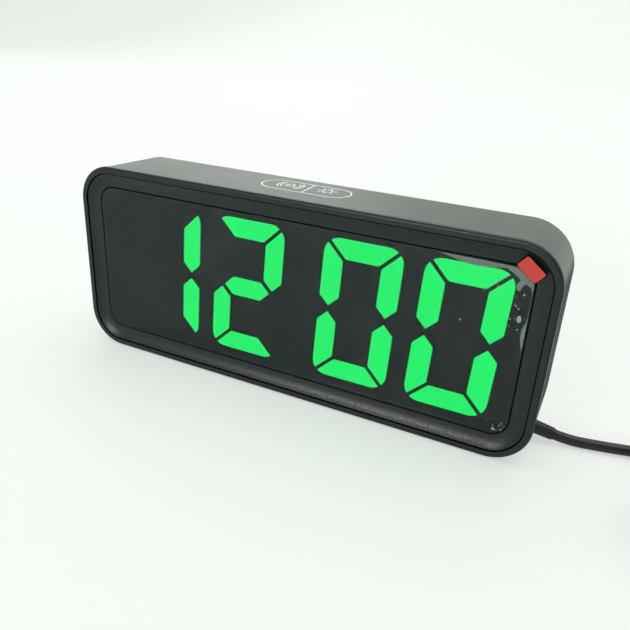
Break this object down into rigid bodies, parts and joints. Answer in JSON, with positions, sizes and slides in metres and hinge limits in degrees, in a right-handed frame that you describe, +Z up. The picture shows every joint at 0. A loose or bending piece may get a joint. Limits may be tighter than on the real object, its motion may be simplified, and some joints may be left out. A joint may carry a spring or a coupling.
{
  "type": "digital led desk clock",
  "caption": "Upright desk clock: black case with a smoked lens over leaning green segment digits, rear buttons, battery door and a fixed USB lead.",
  "frame": {"origin": "on the table under the middle of the clock, cord left out", "axes": "+X to the right as the display is read, +Y to the back, +Z up"},
  "size_m": [0.2493, 0.0451, 0.066],
  "materials": {
    "black_plastic": "satin black moulding",
    "housing_plastic": "matt black moulding",
    "smoked_lens": "smoked clear acrylic",
    "clear_film": "thin clear film",
    "red_tab": "red adhesive tab",
    "frame_plastic": "matt black moulding",
    "segment_diffuser": "translucent green diffuser",
    "board_laminate": "green glass-fibre laminate",
    "led_package": "white package with a clear window",
    "component_plastic": "black moulded packages",
    "plated_steel": "nickel-plated steel",
    "copper_foil": "copper foil",
    "button_plastic": "matt dark grey caps",
    "cell_jacket": "printed steel jacket",
    "white_plastic": "white nylon",
    "wire_insulation": "coloured insulation",
    "foot_rubber": "soft black rubber",
    "cord_jacket": "black PVC jacket",
    "tie_plastic": "black strap"
  },
  "bodies": {
    "case": {"front_bezel": "black_plastic", "rear_housing": "housing_plastic", "lens_panel": "smoked_lens", "protective_film": "clear_film", "film_pull_tab": "red_tab", "segment_frame": "frame_plastic", "hour_tens_segments": "segment_diffuser", "hour_units_segments": "segment_diffuser", "minute_tens_segments": "segment_diffuser", "minute_units_segments": "segment_diffuser", "colon_dots": "segment_diffuser", "led_board": "board_laminate", "led_chips": "led_package", "board_header": "component_plastic", "main_board": "board_laminate", "control_chip": "component_plastic", "clock_crystal": "plated_steel", "board_capacitors": "component_plastic", "buzzer": "component_plastic", "microphone": "plated_steel", "temperature_sensor": "white_plastic", "power_terminal": "white_plastic", "power_wires": "wire_insulation", "battery_wires": "wire_insulation", "touch_plate": "copper_foil", "touch_wire": "wire_insulation", "switch_bodies": "component_plastic", "backup_cells": "cell_jacket", "battery_plates": "plated_steel", "battery_springs": "plated_steel", "case_screws": "plated_steel", "led_board_screws": "plated_steel", "main_board_screws": "plated_steel", "rubber_feet": "foot_rubber", "cord_strain_relief": "cord_jacket", "power_cord": "cord_jacket", "cord_coil": "cord_jacket", "cord_tail": "cord_jacket", "cord_tie": "tie_plastic", "usb_plug_body": "cord_jacket", "usb_plug_shell": "plated_steel", "usb_plug_tongue": "white_plastic"},
    "battery_door": {"battery_door": "housing_plastic"},
    "mode_button": {"mode_button": "button_plastic", "mode_switch_plunger": "component_plastic"},
    "set_button": {"set_button": "button_plastic", "set_switch_plunger": "component_plastic"},
    "up_button": {"up_button": "button_plastic", "up_switch_plunger": "component_plastic"},
    "down_button": {"down_button": "button_plastic", "down_switch_plunger": "component_plastic"}
  },
  "joints": [
    {"name": "mode_press", "type": "slide", "parent": "case", "child": "mode_button", "axis": [0, -1, 0], "range_m": [0, 0.00035], "stiffness_N_per_m": 400, "springref_m": -0.0005},
    {"name": "set_press", "type": "slide", "parent": "case", "child": "set_button", "axis": [0, -1, 0], "range_m": [0, 0.00035], "stiffness_N_per_m": 400, "springref_m": -0.0005},
    {"name": "up_press", "type": "slide", "parent": "case", "child": "up_button", "axis": [0, -1, 0], "range_m": [0, 0.00035], "stiffness_N_per_m": 400, "springref_m": -0.0005},
    {"name": "down_press", "type": "slide", "parent": "case", "child": "down_button", "axis": [0, -1, 0], "range_m": [0, 0.00035], "stiffness_N_per_m": 400, "springref_m": -0.0005},
    {"name": "battery_door_swing", "type": "hinge", "parent": "case", "child": "battery_door", "pos_m": [-0.036, 0.01425, 0.01345], "axis": [-1, 0, 0], "range_deg": [0, 75]}
  ]
}
